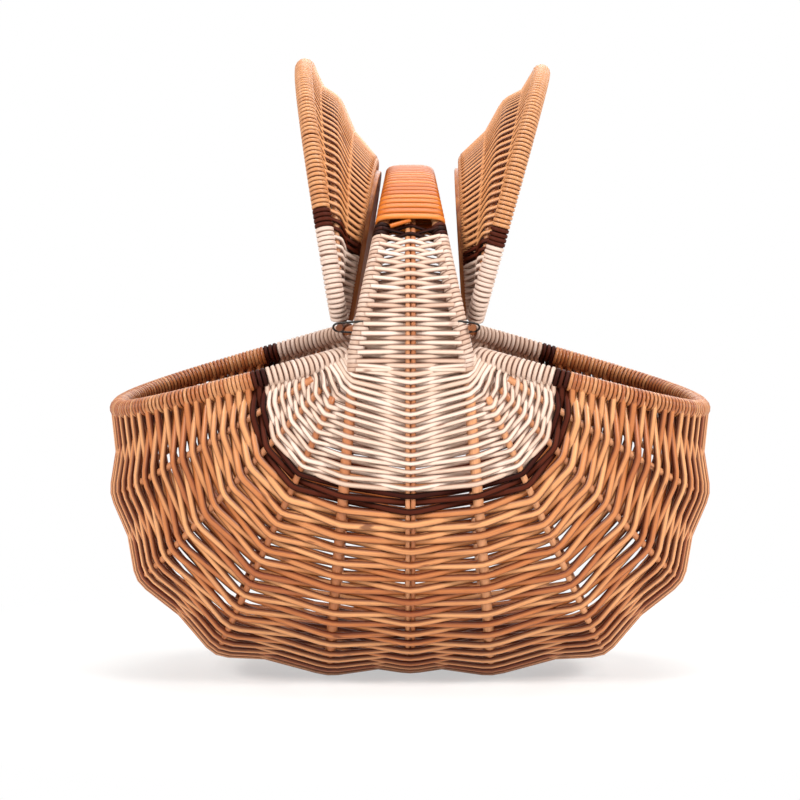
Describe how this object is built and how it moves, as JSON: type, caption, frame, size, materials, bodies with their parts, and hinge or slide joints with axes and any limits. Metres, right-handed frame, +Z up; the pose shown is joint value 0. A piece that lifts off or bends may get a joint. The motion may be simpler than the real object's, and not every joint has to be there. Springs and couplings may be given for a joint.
{
  "type": "picnic basket",
  "caption": "Oval willow rib basket with a fixed arched handle across its middle and woven lids hinged beside the handle, banded in peeled, dark and natural rods.",
  "frame": {"origin": "on the surface that the basket stands on, under the middle of the handle", "axes": "+X along the length of the basket, +Y from the front crossing to the back one, +Z up"},
  "size_m": [0.4608, 0.308, 0.4724],
  "materials": {
    "peeled_willow": "peeled white willow, varnished satin",
    "natural_willow": "buff willow, varnished satin",
    "dark_willow": "willow steamed dark brown, varnished satin",
    "frame_willow": "round willow rods, satin",
    "honey_cane": "flat split cane, glossy varnish",
    "brown_wood": "stained board, satin varnish",
    "dark_wire": "annealed steel wire"
  },
  "bodies": {
    "basket": {"rim_hoop": "frame_willow", "handle_rod_left": "frame_willow", "handle_rod_right": "frame_willow", "core_rod_left": "frame_willow", "core_rod_right": "frame_willow", "rib_1_left": "frame_willow", "rib_2_left": "frame_willow", "rib_3_left": "frame_willow", "rib_1_right": "frame_willow", "rib_2_right": "frame_willow", "rib_3_right": "frame_willow", "hinge_ring_left_front": "dark_wire", "hinge_ring_left_back": "dark_wire", "hinge_ring_right_front": "dark_wire", "hinge_ring_right_back": "dark_wire", "handle_weave_front": "peeled_willow", "handle_weave_back": "peeled_willow", "handle_band_front": "dark_willow", "handle_band_back": "dark_willow", "handle_grip": "honey_cane", "body_weave_front_white": "peeled_willow", "body_weave_front_dark": "dark_willow", "body_weave_natural": "natural_willow", "body_weave_back_dark": "dark_willow", "body_weave_back_white": "peeled_willow"},
    "left_lid": {"left_lid_hinge_bar": "frame_willow", "left_lid_rim_rod": "frame_willow", "left_lid_mid_rib": "frame_willow", "left_lid_inner_rod": "frame_willow", "left_lid_board": "brown_wood", "left_lid_weave_front_white": "peeled_willow", "left_lid_weave_front_dark": "dark_willow", "left_lid_weave_natural": "natural_willow", "left_lid_weave_back_dark": "dark_willow", "left_lid_weave_back_white": "peeled_willow"},
    "right_lid": {"right_lid_hinge_bar": "frame_willow", "right_lid_rim_rod": "frame_willow", "right_lid_mid_rib": "frame_willow", "right_lid_inner_rod": "frame_willow", "right_lid_board": "brown_wood", "right_lid_weave_front_white": "peeled_willow", "right_lid_weave_front_dark": "dark_willow", "right_lid_weave_natural": "natural_willow", "right_lid_weave_back_dark": "dark_willow", "right_lid_weave_back_white": "peeled_willow"}
  },
  "joints": [
    {"name": "left_lid_hinge", "type": "hinge", "parent": "basket", "child": "left_lid", "pos_m": [-0.0488, 0, 0.2755], "axis": [0.0209, 0.9998, 0], "range_deg": [-98, 1]},
    {"name": "right_lid_hinge", "type": "hinge", "parent": "basket", "child": "right_lid", "pos_m": [0.0488, 0, 0.2755], "axis": [-0.0209, -0.9998, 0], "range_deg": [-91.9, 7]}
  ]
}
